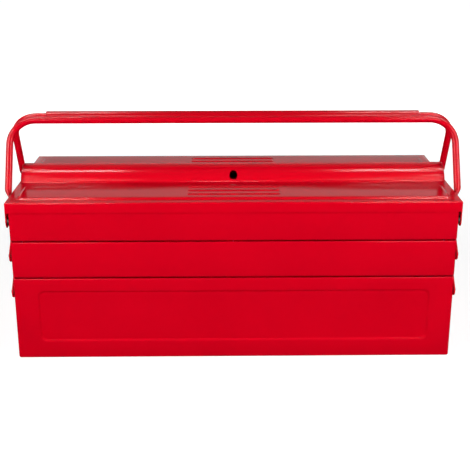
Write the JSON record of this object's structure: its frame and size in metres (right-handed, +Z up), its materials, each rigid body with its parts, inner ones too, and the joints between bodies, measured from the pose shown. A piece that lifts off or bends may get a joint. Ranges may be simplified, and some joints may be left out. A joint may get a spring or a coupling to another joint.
{
  "type": "cantilever tool box",
  "caption": "Red steel cantilever tool box: paired trays that spread out on riveted links over a deep base, hinged lids with a raised spine, and folding tubular handles with a grip sleeve",
  "frame": {"origin": "centre of the underside of the closed box, on the ground", "axes": "+X along the box to the right, +Y from the front to the back, +Z up; the front faces -Y"},
  "size_m": [0.587, 0.236, 0.296],
  "materials": {
    "tray_paint": "gloss",
    "lid_paint": "gloss",
    "link_paint": "gloss",
    "handle_paint": "gloss",
    "divider_paint": "satin",
    "grip_plastic": "gloss",
    "rivet_steel": "satin"
  },
  "bodies": {
    "base": {"bottom_tray": "tray_paint", "base_rivets": "rivet_steel"},
    "lower_links_front_a": {"lower_link_front_a_left": "link_paint", "lower_link_front_a_right": "link_paint"},
    "lower_links_front_b": {"lower_link_front_b_left": "link_paint", "lower_link_front_b_right": "link_paint"},
    "upper_links_front_a": {"upper_link_front_a_left": "link_paint", "upper_link_front_a_right": "link_paint"},
    "upper_links_front_b": {"upper_link_front_b_left": "link_paint", "upper_link_front_b_right": "link_paint"},
    "middle_front": {"middle_tray_front": "tray_paint", "middle_dividers_front": "divider_paint", "middle_rivets_front": "rivet_steel"},
    "upper_front": {"upper_tray_front": "tray_paint", "upper_dividers_front": "divider_paint", "upper_rivets_front": "rivet_steel", "handle_rivets_front": "rivet_steel", "handle_spacers_front": "rivet_steel", "lid_rivets_front": "rivet_steel"},
    "lid_front": {"lid_front": "lid_paint"},
    "handle_front": {"handle_front": "handle_paint"},
    "lower_links_rear_a": {"lower_link_rear_a_left": "link_paint", "lower_link_rear_a_right": "link_paint"},
    "lower_links_rear_b": {"lower_link_rear_b_left": "link_paint", "lower_link_rear_b_right": "link_paint"},
    "upper_links_rear_a": {"upper_link_rear_a_left": "link_paint", "upper_link_rear_a_right": "link_paint"},
    "upper_links_rear_b": {"upper_link_rear_b_left": "link_paint", "upper_link_rear_b_right": "link_paint"},
    "middle_rear": {"middle_tray_rear": "tray_paint", "middle_dividers_rear": "divider_paint", "middle_rivets_rear": "rivet_steel"},
    "upper_rear": {"upper_tray_rear": "tray_paint", "upper_dividers_rear": "divider_paint", "upper_rivets_rear": "rivet_steel", "handle_rivets_rear": "rivet_steel", "handle_spacers_rear": "rivet_steel", "lid_rivets_rear": "rivet_steel"},
    "lid_rear": {"lid_rear": "lid_paint"},
    "handle_rear": {"handle_rear": "handle_paint", "grip_sleeve": "grip_plastic"}
  },
  "joints": [
    {"name": "lower_stage_front", "type": "hinge", "parent": "base", "child": "lower_links_front_a", "pos_m": [0, -0.106, 0.088], "axis": [1, 0, 0], "range_deg": [0, 90]},
    {"name": "middle_level_front", "type": "hinge", "parent": "lower_links_front_a", "child": "middle_front", "pos_m": [0, -0.058, 0.136], "axis": [1, 0, 0], "range_deg": [-90, 0]},
    {"name": "lower_follow_front", "type": "hinge", "parent": "base", "child": "lower_links_front_b", "pos_m": [0, -0.082, 0.088], "axis": [1, 0, 0], "range_deg": [0, 90]},
    {"name": "upper_stage_front", "type": "hinge", "parent": "middle_front", "child": "upper_links_front_a", "pos_m": [0, -0.106, 0.136], "axis": [1, 0, 0], "range_deg": [0, 90]},
    {"name": "upper_level_front", "type": "hinge", "parent": "upper_links_front_a", "child": "upper_front", "pos_m": [0, -0.058, 0.184], "axis": [1, 0, 0], "range_deg": [-90, 0]},
    {"name": "upper_follow_front", "type": "hinge", "parent": "middle_front", "child": "upper_links_front_b", "pos_m": [0, -0.082, 0.136], "axis": [1, 0, 0], "range_deg": [0, 90]},
    {"name": "lid_hinge_front", "type": "hinge", "parent": "upper_front", "child": "lid_front", "pos_m": [0, -0.109, 0.182], "axis": [1, 0, 0], "range_deg": [0, 110]},
    {"name": "handle_hinge_front", "type": "hinge", "parent": "upper_front", "child": "handle_front", "pos_m": [0, -0.058, 0.184], "axis": [1, 0, 0], "range_deg": [0, 170]},
    {"name": "lower_stage_rear", "type": "hinge", "parent": "base", "child": "lower_links_rear_a", "pos_m": [0, 0.106, 0.088], "axis": [-1, 0, 0], "range_deg": [0, 90]},
    {"name": "middle_level_rear", "type": "hinge", "parent": "lower_links_rear_a", "child": "middle_rear", "pos_m": [0, 0.058, 0.136], "axis": [-1, 0, 0], "range_deg": [-90, 0]},
    {"name": "lower_follow_rear", "type": "hinge", "parent": "base", "child": "lower_links_rear_b", "pos_m": [0, 0.082, 0.088], "axis": [-1, 0, 0], "range_deg": [0, 90]},
    {"name": "upper_stage_rear", "type": "hinge", "parent": "middle_rear", "child": "upper_links_rear_a", "pos_m": [0, 0.106, 0.136], "axis": [-1, 0, 0], "range_deg": [0, 90]},
    {"name": "upper_level_rear", "type": "hinge", "parent": "upper_links_rear_a", "child": "upper_rear", "pos_m": [0, 0.058, 0.184], "axis": [-1, 0, 0], "range_deg": [-90, 0]},
    {"name": "upper_follow_rear", "type": "hinge", "parent": "middle_rear", "child": "upper_links_rear_b", "pos_m": [0, 0.082, 0.136], "axis": [-1, 0, 0], "range_deg": [0, 90]},
    {"name": "lid_hinge_rear", "type": "hinge", "parent": "upper_rear", "child": "lid_rear", "pos_m": [0, 0.109, 0.182], "axis": [-1, 0, 0], "range_deg": [0, 110]},
    {"name": "handle_hinge_rear", "type": "hinge", "parent": "upper_rear", "child": "handle_rear", "pos_m": [0, 0.058, 0.184], "axis": [-1, 0, 0], "range_deg": [0, 170]}
  ],
  "couplings": [
    {"joint": "middle_level_front", "follows": "lower_stage_front", "ratio": -1},
    {"joint": "lower_follow_front", "follows": "lower_stage_front", "ratio": 1},
    {"joint": "upper_level_front", "follows": "upper_stage_front", "ratio": -1},
    {"joint": "upper_follow_front", "follows": "upper_stage_front", "ratio": 1},
    {"joint": "middle_level_rear", "follows": "lower_stage_rear", "ratio": -1},
    {"joint": "lower_follow_rear", "follows": "lower_stage_rear", "ratio": 1},
    {"joint": "upper_level_rear", "follows": "upper_stage_rear", "ratio": -1},
    {"joint": "upper_follow_rear", "follows": "upper_stage_rear", "ratio": 1}
  ]
}
